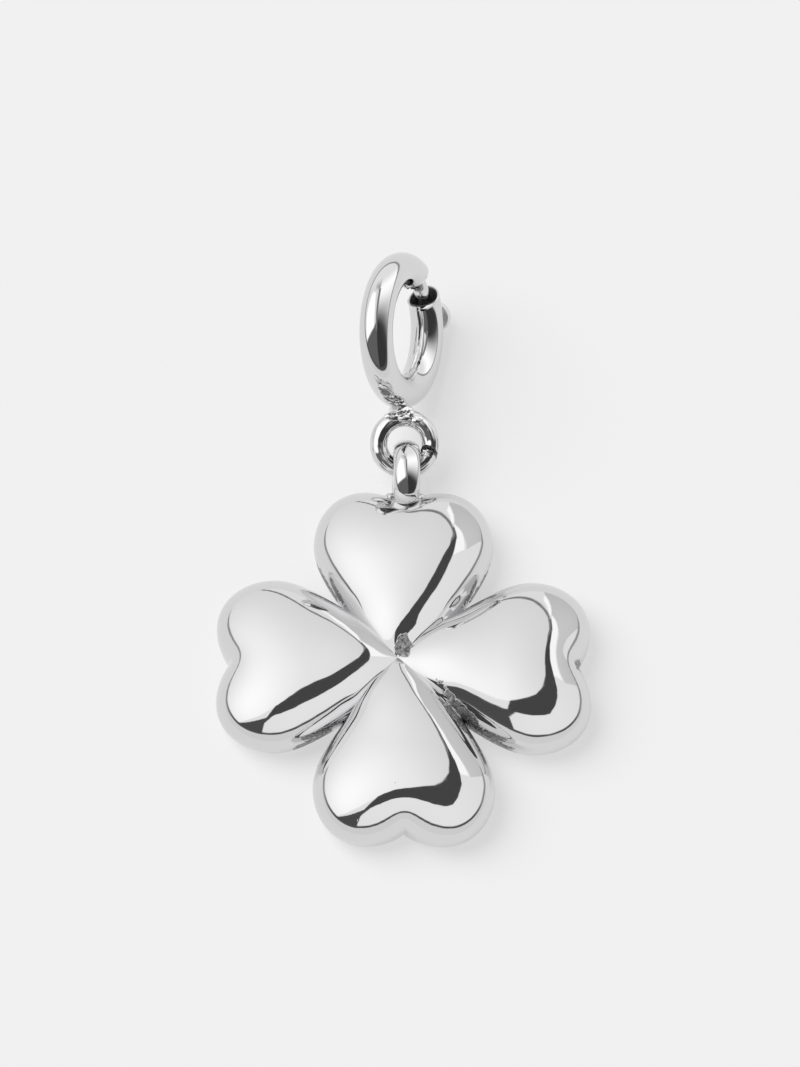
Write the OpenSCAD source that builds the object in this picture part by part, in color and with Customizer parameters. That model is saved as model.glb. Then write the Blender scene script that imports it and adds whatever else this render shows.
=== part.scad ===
// Four-leaf-clover charm: four puffed hearts in one cast piece, with a soldered bail,
// hung from a spring-ring clasp by a small ring that is soldered to the clasp.
// The clover lies on its flat back, and the clasp leans beside it as it falls on a table.

/* [Clover] */
// Distance from the clover's centre to the far end of a heart
leaf_len = 14.45; // [12:0.05:18]
// Width of one heart
leaf_w = 14.0; // [11:0.1:16]
// Distance from the clover's centre to the widest place of a heart
wide_at = 9.95; // [8:0.05:11]
// Distance between the tops of a heart's two lobes
lobe_pitch = 6.05; // [4.5:0.05:7]
// Depth of the cleft between the two lobes
cleft_depth = 1.0; // [0.5:0.05:1.6]
// Height of the rim's widest line above the flat back
rim_z = 1.8; // [1.2:0.1:2.4]
// Height of a heart's dome above that line
dome_h = 3.75; // [2:0.05:4.5]
// How far each heart's point runs on under the heart across from it
tip_overlap = 2.4; // [1.2:0.1:3]
// How far the crossing of the four points sits off centre
crossing_shift = [-0.5, 0.13]; // [-1:0.01:1]

/* [Bail] */
// Height of the bail ring, outside
bail_od = 5.2; // [4.6:0.1:5.2]
// Length of the bail ring along the charm, outside
bail_len = 5.8; // [5.2:0.1:6]
// Width of its domed band
bail_w = 2.1; // [1.6:0.05:2.2]
// Thickness of its band
bail_t = 1.0; // [0.8:0.05:1.1]
// Centre of the bail ring
bail_at = [0.2, 15.71, 2.62]; // [-1:0.01:20]

/* [Joining ring] */
// Outer diameter of the small ring soldered to the clasp
link_od = 5.42; // [5.2:0.02:5.8]
// Thickness of its round wire
link_wire = 1.35; // [0.9:0.05:1.4]
// Centre of the small ring
link_at = [0.07, 18.15, 3.26]; // [-1:0.01:20]
// How much the small ring rises towards the clasp
link_pitch = 20.6; // [15:0.1:25]
// Width of the saw cut left in the small ring
link_cut = 0.3; // [0.05:0.05:0.5]
// Where that cut sits round the small ring, from its right side
link_cut_at = -24; // [-40:1:0]

/* [Clasp] */
// Outer diameter of the spring ring
clasp_od = 12.3; // [11.9:0.1:12.5]
// Thickness of its tube
clasp_tube_d = 2.6; // [2.4:0.05:2.7]
// Wall of the tube
clasp_wall = 0.2; // [0.15:0.01:0.3]
// Centre of the spring ring
clasp_at = [-0.22, 26.65, 5.95]; // [-1:0.01:30]
// How far the ring leans over from flat, down to its bolt side
clasp_lean = 64.8; // [60:0.1:70]
// How much the ring rises away from the clover
clasp_pitch = 20.7; // [15:0.1:25]
// How far the ring is turned on the table
clasp_yaw = -1.8; // [-5:0.1:5]
// Width of the straight gap that the bolt closes
gap_w = 2.7; // [2.2:0.1:3]
// Where the gap sits round the ring, from its low side
gap_at = 53; // [48:1:56]

/* [Bolt] */
// Thickness of the bolt
bolt_d = 1.2; // [1:0.05:1.4]
// Clearance round the bolt's guide inside the tube
bolt_clear = 0.15; // [0.1:0.01:0.2]
// Where the bolt's round nose is centred round the ring
bolt_nose_at = 71; // [69:1:75]
// Where the thumb knob sits round the ring, with the clasp shut
knob_at = 14; // [10:1:18]
// Diameter of the thumb knob
knob_d = 2.4; // [1.6:0.05:2.8]
// Height of the thumb knob outside the tube
knob_h = 1.15; // [0.8:0.05:1.5]
// How far the bolt slides back round the ring
bolt_travel = 42; // [38:1:44]

/* [Hidden] */
$fn = 64;

half_w = leaf_w / 2;
lobe_x = lobe_pitch / 2;
cleft_at = leaf_len - cleft_depth;
lobe_r = (pow(lobe_x, 2) + pow(cleft_depth, 2)) / (2 * cleft_depth);

// Handles of the curves that draw half a heart
flank_handle = [3.85, 3.9];
shoulder_handle = 2.8;
crown_handles = [2.4, 2.4];

// Where the crease that runs in from the cleft dies out, as a share of the dome's radius
crease_from = 0.5;
// Where the back stops being flat and starts to round up to the rim
flat_share = 0.72;
// Shares of a seam's length at which the back starts to round up and is fully rounded
flat_seam = [0.45, 0.97];
// The crossing's shift fades out by this distance from the centre
shift_reach = 7;
// Shares of a ray beyond this count as its end
on_border = 0.99999;

// Rays along the stretches of half a heart, and rings along each ray
flank_in = 7;
flank_out = 5;
crown_steps = 8;
cleft_steps = 5;
top_rings = 9;
back_rings = 5;

steel = [0.80, 0.80, 0.81];
steel_dark = [0.66, 0.66, 0.68];

link_r = (link_od - link_wire) / 2;
ring_r = (clasp_od - clasp_tube_d) / 2;
tube_r = clasp_tube_d / 2;
bore_r = tube_r - clasp_wall;
guide_r = bore_r - bolt_clear;
guide_half = 8;
stem_r = 0.42;
slot_clear = 0.08;
slot_w = 2 * (stem_r + slot_clear);
slot_extra = 5;
knob_foot = 0.12;
knob_dome_r = 1.7;
// The cutters run on past the surfaces they cut by this much
cut_over = 1;
// Radius of the domed outside of the bail's band in section, and the easing of its inner corners
bail_dome_r = 1.3;
bail_ease = 0.22;
// Solder at the bail's foot, and between the spring ring and the small ring
foot_solder_r = 1.15;
foot_solder_at = [bail_at[0], cleft_at - 0.2, rim_z + 0.3];
solder_r = 0.85;
solder_at = [0.05, 0.1 - ring_r - tube_r, 0];

function cubic(a, b, c, d, t) =
    pow(1 - t, 3) * a + 3 * pow(1 - t, 2) * t * b + 3 * (1 - t) * t * t * c + pow(t, 3) * d;

// Half a heart in three curves: from its point to the widest place, round the lobe, and an arc
// into the cleft
function flank(t) =
    cubic([0, -tip_overlap], flank_handle, [half_w, wide_at - shoulder_handle], [half_w, wide_at], t);
function crown(t) =
    cubic([half_w, wide_at], [half_w, wide_at + crown_handles[0]],
          [lobe_x + crown_handles[1], leaf_len], [lobe_x, leaf_len], t);
function cleft(t) =
    let (a = t * asin(lobe_x / lobe_r))
    [lobe_x - lobe_r * sin(a), leaf_len - lobe_r * (1 - cos(a))];

// Where the flank leaves the seam between two neighbouring hearts, found by halving
function seam(lo, hi, n) =
    n == 0 ? (lo + hi) / 2 :
    let (mid = (lo + hi) / 2, p = flank(mid))
    p[1] < p[0] ? seam(mid, hi, n - 1) : seam(lo, mid, n - 1);
seam_t = seam(0.2, 0.8, 24);
seam_len = norm(flank(seam_t));

// The outline points of the right half, point to cleft
half_heart = [
    for (i = [0 : flank_in - 1]) flank(seam_t * i / flank_in),
    for (i = [0 : flank_out - 1]) flank(seam_t + (1 - seam_t) * i / flank_out),
    for (i = [0 : crown_steps - 1]) crown(i / crown_steps),
    for (i = [0 : cleft_steps]) cleft(i / cleft_steps)
];
half_n = len(half_heart);
ray_n = 2 * (half_n - 1);

// Share of a ray that lies on the heart's own side of the seam
function reach(i) =
    let (p = half_heart[i])
    i >= flank_in ? 1 : wide_at / (p[0] - p[1] + wide_at);
// How far the outline falls short of a heart without a cleft, along a ray
function round_share(i) =
    i < flank_in + flank_out + crown_steps ? 1
    : (half_heart[i][1] - wide_at) / (leaf_len - wide_at);

function smooth(a, b, x) =
    let (t = max(0, min(1, (x - a) / (b - a)))) t * t * (3 - 2 * t);

// Half the heart's width at a distance y from the clover's centre, found by halving
function half_width(y, lo = 0, hi = 1, n = 20) =
    let (mid = (lo + hi) / 2, p = flank(mid))
    n == 0 ? p[0] : p[1] < y ? half_width(y, mid, hi, n - 1) : half_width(y, lo, mid, n - 1);

// Share of the dome's height squared: past the widest place it falls along the rays,
// and below it each cross-section is half an ellipse under a ridge line that falls to the point
function lobe_rise(i, s) =
    let (w = smooth(crease_from, 1, s), q = 1 + (round_share(i) - 1) * (1 - w))
    1 - pow(s * q, 2);
function flank_rise(p) =
    (1 - pow((wide_at - p[1]) / (wide_at + tip_overlap), 2)) * (1 - pow(p[0] / half_width(p[1]), 2));
function rise(i, s, p) = s > on_border ? 0 : p[1] < wide_at ? flank_rise(p) : lobe_rise(i, s);

// Heights above the back, at a share s of ray i and at the place p
function top_z(i, s, p) = rim_z + dome_h * sqrt(max(0, rise(i, s, p)));
function back_z(s, p) =
    s <= flat_share ? 0
    : rim_z * (1 - sqrt(max(0, 1 - pow((s - flat_share) / (1 - flat_share), 2))))
      * smooth(flat_seam[0], flat_seam[1], norm(p) / seam_len);

// Shares of a ray at which the rings lie, closest together at the rim
function top_share(k) = sin(90 * k / top_rings);
function back_share(k) =
    k == 0 ? 0 : flat_share + (1 - flat_share) * sin(90 * (k - 1) / (back_rings - 1));

function shifted(p) =
    let (d = norm([p[0], p[1]]) / shift_reach, w = d < 1 ? pow(1 - d * d, 2) : 0)
    [p[0] + w * crossing_shift[0], p[1] + w * crossing_shift[1], p[2]];

// A point of ray i at a share of its length, on the top or on the back of the upright heart
function heart_point(i, share, top) =
    let (
        half_i = i < half_n ? i : ray_n - i,
        side = i < half_n ? 1 : -1,
        s = share * reach(half_i),
        end = half_heart[half_i],
        p = [s * end[0], wide_at + s * (end[1] - wide_at)]
    )
    [side * p[0], p[1], top ? top_z(half_i, s, p) : back_z(s, p)];

function quarter_turns(p, n) =
    n == 0 ? p : quarter_turns([p[1], -p[0], p[2]], n - 1);

// Each heart lists its dome's centre, the rings of its top, its back's centre and the back's rings
leaf_points = 2 + ray_n * (top_rings + back_rings);
clover_points = [
    for (leaf = [0 : 3]) each [
        for (side = [true, false]) each [
            shifted(quarter_turns(heart_point(0, 0, side), leaf)),
            for (k = [1 : side ? top_rings : back_rings], i = [0 : ray_n - 1])
                shifted(quarter_turns(
                    heart_point(i, side ? top_share(k) : back_share(k), side), leaf))
        ]
    ]
];
function fan(first, flip) = [
    for (i = [0 : ray_n - 1])
        let (a = first + 1 + i, b = first + 1 + (i + 1) % ray_n)
        flip ? [first, a, b] : [first, b, a]
];
function belt(first, k, flip) = [
    for (i = [0 : ray_n - 1])
        let (
            j = (i + 1) % ray_n,
            a = first + 1 + (k - 1) * ray_n + i, b = first + 1 + (k - 1) * ray_n + j,
            c = a + ray_n, d = b + ray_n
        )
        each (flip ? [[a, c, d], [a, d, b]] : [[a, d, c], [a, b, d]])
];
clover_faces = [
    for (leaf = [0 : 3]) let (
        top_first = leaf * leaf_points,
        back_first = top_first + 1 + ray_n * top_rings
    )
    each [
        each fan(top_first, false),
        for (k = [1 : top_rings - 1]) each belt(top_first, k, false),
        each fan(back_first, true),
        for (k = [1 : back_rings - 1]) each belt(back_first, k, true)
    ]
];

// The bail's band in section: a flat inside with eased corners and a domed outside
module bail_section() {
    inner_r = bail_od / 2 - bail_t;
    intersection() {
        translate([bail_od / 2 - bail_dome_r, 0]) circle(bail_dome_r);
        polygon([
            [inner_r, bail_w / 2 - bail_ease], [inner_r + bail_ease, bail_w / 2], [bail_od, bail_w / 2],
            [bail_od, -bail_w / 2], [inner_r + bail_ease, -bail_w / 2], [inner_r, -bail_w / 2 + bail_ease]
        ]);
    }
}

// The band bent into a ring that is a little longer than it is high, standing on edge
module bail() {
    straight = bail_len - bail_od;
    translate(bail_at) rotate([0, 90, 0]) {
        for (side = [-1, 1])
            translate([0, side * straight / 2, 0])
                rotate([0, 0, side * 90 - 90]) rotate_extrude(angle = 180) bail_section();
        for (side = [-1, 1])
            rotate([90, 0, 0]) linear_extrude(straight, center = true)
                scale([side, 1]) bail_section();
    }
}

// Four puffed hearts with their points together, and the bail soldered into the top cleft
module heart_clover() {
    color(steel) {
        polyhedron(points = clover_points, faces = clover_faces, convexity = 6);
        bail();
        translate(foot_solder_at) sphere(foot_solder_r);
    }
}

module in_clasp() {
    translate(clasp_at) rotate([clasp_pitch, 0, clasp_yaw]) rotate([0, clasp_lean, 0]) children();
}

module arc_rod(r, from, to) {
    rotate([0, 0, from]) rotate_extrude(angle = to - from) translate([ring_r, 0]) circle(r);
}

// Hollow ring with a straight gap and a slot for the knob, and the small cut ring soldered below
module clasp_tube() {
    color(steel) {
        in_clasp() difference() {
            rotate_extrude() translate([ring_r, 0]) circle(tube_r);
            rotate_extrude() translate([ring_r, 0]) circle(bore_r);
            rotate([0, 0, gap_at])
                translate([ring_r - tube_r - cut_over, -gap_w / 2, -tube_r - cut_over])
                    cube([clasp_tube_d + 2 * cut_over, gap_w, clasp_tube_d + 2 * cut_over]);
            rotate([0, 0, knob_at - bolt_travel - slot_extra])
                rotate_extrude(angle = bolt_travel + 2 * slot_extra)
                    translate([ring_r + stem_r, -slot_w / 2]) square([tube_r + cut_over, slot_w]);
        }
        translate(link_at) rotate([link_pitch, 0, 0]) difference() {
            rotate_extrude() translate([link_r, 0]) circle(link_wire / 2);
            rotate([0, 0, link_cut_at]) translate([link_r - link_wire, -link_cut / 2, -link_wire])
                cube([2 * link_wire, link_cut, 2 * link_wire]);
        }
        solder();
    }
}

// The lump of solder between the spring ring and the small ring, clear of the tube's bore
module solder() {
    in_clasp() difference() {
        translate(solder_at) sphere(solder_r);
        rotate_extrude() translate([ring_r, 0]) circle(bore_r);
    }
}

// Curved bolt with its guide inside the tube, its stem through the slot and its domed knob
module clasp_bolt() {
    color(steel_dark) in_clasp() {
        arc_rod(bolt_d / 2, knob_at, bolt_nose_at);
        rotate([0, 0, bolt_nose_at]) translate([ring_r, 0, 0]) sphere(bolt_d / 2);
        arc_rod(guide_r, knob_at - guide_half, knob_at + guide_half);
        rotate([0, 0, knob_at]) rotate([0, 90, 0]) {
            translate([0, 0, ring_r]) cylinder(r = stem_r, h = tube_r + knob_foot + knob_h / 2);
            intersection() {
                translate([0, 0, ring_r + tube_r + knob_foot]) cylinder(d = knob_d, h = knob_h);
                translate([0, 0, ring_r + tube_r + knob_foot + knob_h - knob_dome_r])
                    sphere(knob_dome_r);
            }
        }
    }
}

heart_clover();
clasp_tube();
clasp_bolt();
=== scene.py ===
from math import atan2, cos, degrees, exp, hypot, pi, radians, sin, sqrt

import bpy
import numpy as np
from mathutils import Matrix, Vector, noise


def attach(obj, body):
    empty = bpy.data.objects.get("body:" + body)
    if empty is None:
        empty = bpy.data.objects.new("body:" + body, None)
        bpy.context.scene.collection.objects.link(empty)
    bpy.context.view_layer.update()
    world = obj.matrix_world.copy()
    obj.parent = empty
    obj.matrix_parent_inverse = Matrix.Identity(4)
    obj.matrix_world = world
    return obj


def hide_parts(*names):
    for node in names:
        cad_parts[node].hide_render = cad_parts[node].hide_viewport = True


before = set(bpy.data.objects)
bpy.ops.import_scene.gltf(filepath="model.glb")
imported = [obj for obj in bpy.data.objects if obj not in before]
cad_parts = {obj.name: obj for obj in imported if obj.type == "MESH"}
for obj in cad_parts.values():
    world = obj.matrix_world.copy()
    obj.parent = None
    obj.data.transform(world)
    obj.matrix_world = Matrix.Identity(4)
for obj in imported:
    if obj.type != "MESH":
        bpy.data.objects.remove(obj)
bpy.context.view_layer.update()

# Camera
# A long lens looks down on the charm from just west of south, 69 degrees above the table,
# and the camera is rolled a little, so the clover stands a touch askew in the picture.
MM = 0.001
camera_height = radians(69.4)
camera_turn = radians(-4.7)
camera_roll = radians(-4.9)
camera_distance = 400 * MM
focal_length, film_width = 174.1, 36
picture_centre = (-0.233 * MM, 11.04 * MM)  # how far the aim lies right of and above the clover
scene = bpy.context.scene
toward_camera = Vector((
    sin(camera_turn) * cos(camera_height),
    -cos(camera_turn) * cos(camera_height),
    sin(camera_height),
))
level_right = Vector((cos(camera_turn), sin(camera_turn), 0))
level_up = toward_camera.cross(level_right)
picture_right = cos(camera_roll) * level_right - sin(camera_roll) * level_up
picture_up = sin(camera_roll) * level_right + cos(camera_roll) * level_up

lens = bpy.data.cameras.new("camera")
lens.sensor_width, lens.lens = film_width, focal_length
lens.clip_start = 10 * MM
camera = bpy.data.objects.new("camera", lens)
scene.collection.objects.link(camera)
scene.camera = camera
camera_at = toward_camera * camera_distance
aim = picture_centre[0] * picture_right + picture_centre[1] * picture_up
back = (camera_at - aim).normalized()
right = picture_up.cross(back).normalized()
camera.matrix_world = Matrix.Translation(camera_at) @ Matrix(
    (right, back.cross(right), back)
).transposed().to_4x4()

# Table
# The charm lies on a pale matt sheet that glows a little from below, as on a light table, so that
# it throws only a short soft shadow to the lower right. A broad lamp shines from the north-west.
table_half = 450 * MM
table_drop = 0.03 * MM
paper_shades = (0.318, 0.326)
paper_glow = 0.55
lamp_from = Vector((-0.72, 0.30, 1.0)).normalized()
lamp_width = radians(50)
room_shade = 0.36  # how bright the room is for the light it gives
far_shade = 0.87  # how bright the room looks beyond the sheet
scene.view_settings.view_transform = "Standard"

table_mesh = bpy.data.meshes.new("table")
table_mesh.from_pydata(
    [(-table_half, -table_half, 0), (table_half, -table_half, 0),
     (table_half, table_half, 0), (-table_half, table_half, 0)],
    [], [(0, 1, 2, 3)],
)
table = bpy.data.objects.new("table", table_mesh)
scene.collection.objects.link(table)
table.location.z = -table_drop
paper = bpy.data.materials.new("matt_paper")
paper.use_nodes = True
paper_nodes, paper_links = paper.node_tree.nodes, paper.node_tree.links
sheet_skin = paper_nodes["Principled BSDF"]
sheet_skin.inputs["Roughness"].default_value = 0.9
sheet_skin.inputs["Specular IOR Level"].default_value = 0.0
sheet_skin.inputs["Emission Color"].default_value = (1, 1, 1, 1)
sheet_skin.inputs["Emission Strength"].default_value = paper_glow
mottle = paper_nodes.new("ShaderNodeTexNoise")
mottle.inputs["Scale"].default_value = 60
shades = paper_nodes.new("ShaderNodeValToRGB")
for stop, shade in zip(shades.color_ramp.elements, paper_shades):
    stop.color = (shade, shade, shade, 1)
paper_links.new(mottle.outputs["Fac"], shades.inputs["Fac"])
paper_links.new(shades.outputs["Color"], sheet_skin.inputs["Base Color"])
table_mesh.materials.append(paper)

lamp = bpy.data.lights.new("north_west_lamp", "SUN")
lamp.angle = lamp_width
lamp.energy = 2.6
lamp_stand = bpy.data.objects.new("north_west_lamp", lamp)
scene.collection.objects.link(lamp_stand)
lamp_stand.rotation_euler = lamp_from.to_track_quat("Z", "Y").to_euler()
lamp_stand.visible_glossy = False

air = bpy.data.worlds.new("pale_room")
scene.world = air
air.use_nodes = True
air.cycles_visibility.glossy = False
air_nodes, air_links = air.node_tree.nodes, air.node_tree.links
air_nodes.clear()
looked_at = air_nodes.new("ShaderNodeLightPath")
either = air_nodes.new("ShaderNodeMixShader")
air_links.new(looked_at.outputs["Is Camera Ray"], either.inputs["Fac"])
for socket, shade in ((1, room_shade), (2, far_shade)):
    wall = air_nodes.new("ShaderNodeBackground")
    wall.inputs["Color"].default_value = (shade, shade, shade, 1)
    air_links.new(wall.outputs[0], either.inputs[socket])
air_links.new(either.outputs[0], air_nodes.new("ShaderNodeOutputWorld").inputs["Surface"])

# Light tents
# Polished steel shows what hangs round it. The hearts stand in one white cloth tent with a dark
# gap round its big west window, and the clasp and its rings in a second one, darker to the south.
steel_tint = 0.74


def grey(level):
    """How bright a place in a tent is for polished steel to show it as that grey of 255."""
    share = level / 255
    return ((share + 0.055) / 1.055) ** 2.4 / steel_tint


def sky(east, north):
    """The direction that many degrees off the zenith towards the east and the north."""
    off, bearing = radians(hypot(east, north)), atan2(east, north)
    return Vector((sin(off) * sin(bearing), sin(off) * cos(bearing), cos(off)))


def math_node(tree, operation, *values):
    """The outcome of one sum over sockets and numbers."""
    node = tree.nodes.new("ShaderNodeMath")
    node.operation = operation
    for socket, value in zip(node.inputs, values):
        if isinstance(value, (int, float)):
            socket.default_value = value
        else:
            tree.links.new(value, socket)
    return node.outputs[0]


class Tent:
    """A round tent of cloth, whose brightness is put together panel by panel."""

    rings, meridians = 24, 48
    line_top, line_foot = (0.20, 0.15), (0.06, 0.10)  # cosines between which the dark line fades
    line_greys, sheet_grey = (75, 140), 204

    def __init__(self, name, radius, centre):
        mesh = bpy.data.meshes.new(name)
        mesh.from_pydata(*self.round_shell())
        cloth = bpy.data.materials.new(name)
        cloth.use_nodes = True
        cloth.cycles.emission_sampling = "NONE"
        mesh.materials.append(cloth)
        self.tree = cloth.node_tree
        self.nodes, self.links = self.tree.nodes, self.tree.links
        self.nodes.clear()
        even = self.nodes.new("ShaderNodeVectorMath")
        even.operation = "NORMALIZE"
        self.links.new(self.nodes.new("ShaderNodeTexCoord").outputs["Object"], even.inputs[0])
        self.place = even.outputs[0]
        shell = bpy.data.objects.new(name, mesh)
        shell.location, shell.scale = centre, (radius, radius, radius)
        scene.collection.objects.link(shell)
        for ray in ("camera", "diffuse", "transmission", "volume_scatter", "shadow"):
            setattr(shell, "visible_" + ray, False)
        self.inside = bpy.data.collections.new("in_" + name)
        shell.light_linking.receiver_collection = self.inside

    def round_shell(self):
        """A ball one metre in radius: its points, no edges, and its faces."""
        rings, meridians = self.rings, self.meridians
        points = [(0, 0, -1)]
        for k in range(1, rings):
            off, level = sin(pi * k / rings), -cos(pi * k / rings)
            points += [(off * cos(2 * pi * i / meridians), off * sin(2 * pi * i / meridians), level)
                       for i in range(meridians)]
        points.append((0, 0, 1))
        faces = [(0, 1 + (i + 1) % meridians, 1 + i) for i in range(meridians)]
        for k in range(rings - 2):
            low, high = 1 + k * meridians, 1 + (k + 1) * meridians
            faces += [(low + i, low + (i + 1) % meridians, high + (i + 1) % meridians, high + i)
                      for i in range(meridians)]
        top = len(points) - 1
        faces += [(top, high + i, high + (i + 1) % meridians) for i in range(meridians)]
        return points, [], faces

    def facing(self, direction):
        """Cosine of the angle between a place in the tent and a direction."""
        node = self.nodes.new("ShaderNodeVectorMath")
        node.operation = "DOT_PRODUCT"
        self.links.new(self.place, node.inputs[0])
        node.inputs[1].default_value = direction
        return node.outputs["Value"]

    def ramp(self, value, start, end):
        """Rises smoothly from 0 to 1 as the value goes from start to end."""
        node = self.nodes.new("ShaderNodeMapRange")
        node.interpolation_type = "SMOOTHSTEP"
        self.links.new(value, node.inputs["Value"])
        node.inputs["From Min"].default_value = start
        node.inputs["From Max"].default_value = end
        return node.outputs["Result"]

    def panel(self, corners, soft):
        """1 inside a convex panel of (east, north) corners, with an edge soft degrees wide."""
        points = [sky(*c) for c in corners]
        middle = sum(points, Vector((0, 0, 0)))
        inside = None
        for a, b in zip(points, points[1:] + points[:1]):
            edge = a.cross(b).normalized()
            if edge.dot(middle) < 0:
                edge = -edge
            side = self.facing(edge)
            inside = side if inside is None else math_node(self.tree, "MINIMUM", inside, side)
        return self.ramp(inside, -radians(soft), radians(soft))

    def hang(self, under, over, share):
        """Lays one brightness over another where share is 1."""
        difference = math_node(self.tree, "SUBTRACT", over, under)
        return math_node(self.tree, "MULTIPLY_ADD", difference, share, under)

    def glow(self, direction, spread, strength, base):
        """A soft round bright place on an even base."""
        turned_away = math_node(self.tree, "SUBTRACT", self.facing(direction), 1)
        near = math_node(self.tree, "MULTIPLY", turned_away, 1 / radians(spread) ** 2)
        return math_node(self.tree, "MULTIPLY_ADD", math_node(self.tree, "EXPONENT", near), strength, base)

    def rim(self, light, tip=15):
        """The pale sheet low all round and the thin dark line of its edge above it, which is darker
        and higher on the south side, by tip degrees."""
        low = self.facing(sky(0, tip))
        below_top, above_foot = self.ramp(low, *self.line_top), self.ramp(low, *self.line_foot)
        line = math_node(self.tree, "MULTIPLY", below_top, above_foot)
        southern, northern = (grey(level) for level in self.line_greys)
        dark = self.hang(southern, northern, self.ramp(self.facing((0, 1, 0)), -0.5, 0.2))
        light = self.hang(light, dark, line)
        return self.hang(light, grey(self.sheet_grey), self.ramp(low, *reversed(self.line_foot)))

    def light_up(self, light):
        """Lets the cloth shine as brightly as reckoned, and lets all other light through."""
        glowing = self.nodes.new("ShaderNodeEmission")
        self.links.new(light, glowing.inputs["Color"])
        both = self.nodes.new("ShaderNodeAddShader")
        self.links.new(glowing.outputs[0], both.inputs[0])
        self.links.new(self.nodes.new("ShaderNodeBsdfTransparent").outputs[0], both.inputs[1])
        self.links.new(both.outputs[0], self.nodes.new("ShaderNodeOutputMaterial").inputs["Surface"])


hearts_tent = Tent("hearts_tent", radius=1.5, centre=(0, 0, 0))
south_west_gap = [(-3, -31.5), (12, -98), (-60, -88), (-98, -40), (-66, -38)]
south_cloth = [
    (-10, -36), (-21, -41), (-23, -52), (-22, -62.5), (-26, -98), (60, -88), (98, 0), (95, 40), (36, 25),
]
east_glare = [(33, 48), (46, 34), (54, 18), (42, 14), (40, 26), (36, 36)]
east_card = [(33, 49), (46, 34.5), (57, 18), (85, 38), (60, 72), (21, 92), (22, 80)]
north_slit = [(33, 49), (31, 46), (15, 80), (12, 92), (21, 92), (22, 80)]
dark_gap = [
    (26, 36), (34, 44), (40, 32), (43, 17), (43, 4.5), (39.5, -6), (36.5, -13), (29.5, -24), (22, -28.5),
    (10, -32), (3, -33.5), (-16.5, -35.5),
]
window_hem = [
    (-22, 91), (2.5, 79), (14.5, 69.5), (29, 52.5), (35.5, 41), (38, 33), (27, 0), (-20, -10), (-80, -20),
    (-85, 10), (-60, 68),
]
west_window = [
    (-24, 88), (1.5, 76), (13, 66.5), (26.5, 51), (33, 40.5), (35.5, 33), (35.5, 23), (32, 10), (24.5, -1),
    (16.5, -9.5), (6.5, -15.5), (0, -19), (-20, -29), (-88, -36), (-96, 10), (-70, 70),
]
cloth_light = hearts_tent.glow(sky(20, -35), spread=40, strength=0.08, base=grey(219))
card_light = hearts_tent.glow(sky(45, 25), spread=25, strength=0.12, base=grey(184))
window_light = hearts_tent.glow(sky(-38, -10), spread=35, strength=0.46, base=grey(209))
light = cloth_light
for hung, corners, soft in (
    (grey(72), south_west_gap, 0.8), (cloth_light, south_cloth, 0.8), (grey(247), east_glare, 0.4),
    (card_light, east_card, 0.4), (grey(250), north_slit, 1), (grey(66), dark_gap, 0.4),
    (grey(120), window_hem, 0.8), (window_light, west_window, 0.5),
):
    light = hearts_tent.hang(light, hung, hearts_tent.panel(corners, soft))
hearts_tent.light_up(hearts_tent.rim(light))

clasp_tent = Tent("clasp_tent", radius=1.6, centre=(0, 26.6 * MM, 6 * MM))
south_wall = [
    (-86, -36), (-66, -26), (-15, -17), (6, -11), (30, -19), (60, -30), (84, -36), (60, -80), (0, -98),
    (-60, -80),
]
middle_strip = [(-5, -24), (5, -24), (3.5, 36), (-7, 36)]
north_strip = [(-28, 45), (-4, 34), (3, 55), (0, 74), (-25, 70)]
west_card = [(-70, -28), (-15, -18), (-17, 8), (-22, 34), (-42, 42), (-68, 16)]
across_sky, up_sky = clasp_tent.facing((1, 0, 0)), clasp_tent.facing((0, 1, 0))
east_light = clasp_tent.hang(grey(58), grey(255), clasp_tent.ramp(up_sky, -0.3, 0.55))
south_light = clasp_tent.hang(grey(92), grey(52), clasp_tent.ramp(across_sky, 0.04, 0.14))
light = clasp_tent.hang(grey(215), east_light, clasp_tent.ramp(across_sky, -0.04, 0.04))
for hung, corners, soft in (
    (south_light, south_wall, 3), (grey(120), middle_strip, 1.5), (grey(115), north_strip, 4),
    (grey(258), west_card, 3),
):
    light = clasp_tent.hang(light, hung, clasp_tent.panel(corners, soft))
light = clasp_tent.hang(light, grey(222), clasp_tent.ramp(up_sky, 0.55, 0.85))
clasp_tent.light_up(clasp_tent.rim(light, tip=5))

# Clover
# Four puffed hearts cast as one piece of stainless steel, points together, flat on the back. The
# fronts are ground and buffed, and raw casting skin is left in the notches, along the lower right
# seam, in the crossing and in the right heart's cleft, where its colour is also darkened as painted
# shade. Sizes are in millimetres from here on.
heart_length, heart_width, widest_at = 14.45, 14.0, 9.95
lobe_x, cleft_at, point_overlap = 3.025, 13.45, 2.4
flank_handle, hip_handle, crown_handle = (3.85, 3.9), 2.8, 2.4  # how far the sides' curves bow out
rim_height, dome_height = 1.8, 3.75
ridge_gain, ridge_reach = 0.2, 8.0  # the dome gains height towards the crossing
point_gain, point_reach = 0.12, 1.1  # and a little more at the very point
crossing_shift, shift_reach = np.array([-0.5, 0.13]), 7.0
fill_height, fill_half, fill_starts, fill_ends = 0.2, 0.7, (0.8, 3.6), (6.4, 4.2)
flat_share, flat_seam = 0.72, (0.45, 0.97)  # how far out the back is flat, and its seams
cleft_drop = heart_length - cleft_at
lobe_radius = (lobe_x ** 2 + cleft_drop ** 2) / (2 * cleft_drop)
lobe_centre = np.array([lobe_x, heart_length - lobe_radius])


def bezier(a, b, c, d, t):
    """Points along a cubic curve."""
    a, b, c, d, t = np.array(a), np.array(b), np.array(c), np.array(d), np.asarray(t)[:, None]
    return (1 - t) ** 3 * a + 3 * (1 - t) ** 2 * t * b + 3 * (1 - t) * t * t * c + t ** 3 * d


def flank(share):
    """A heart's right side, from its point up to where it is widest."""
    hip = heart_width / 2
    return bezier((0, -point_overlap), flank_handle, (hip, widest_at - hip_handle), (hip, widest_at), share)


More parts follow.
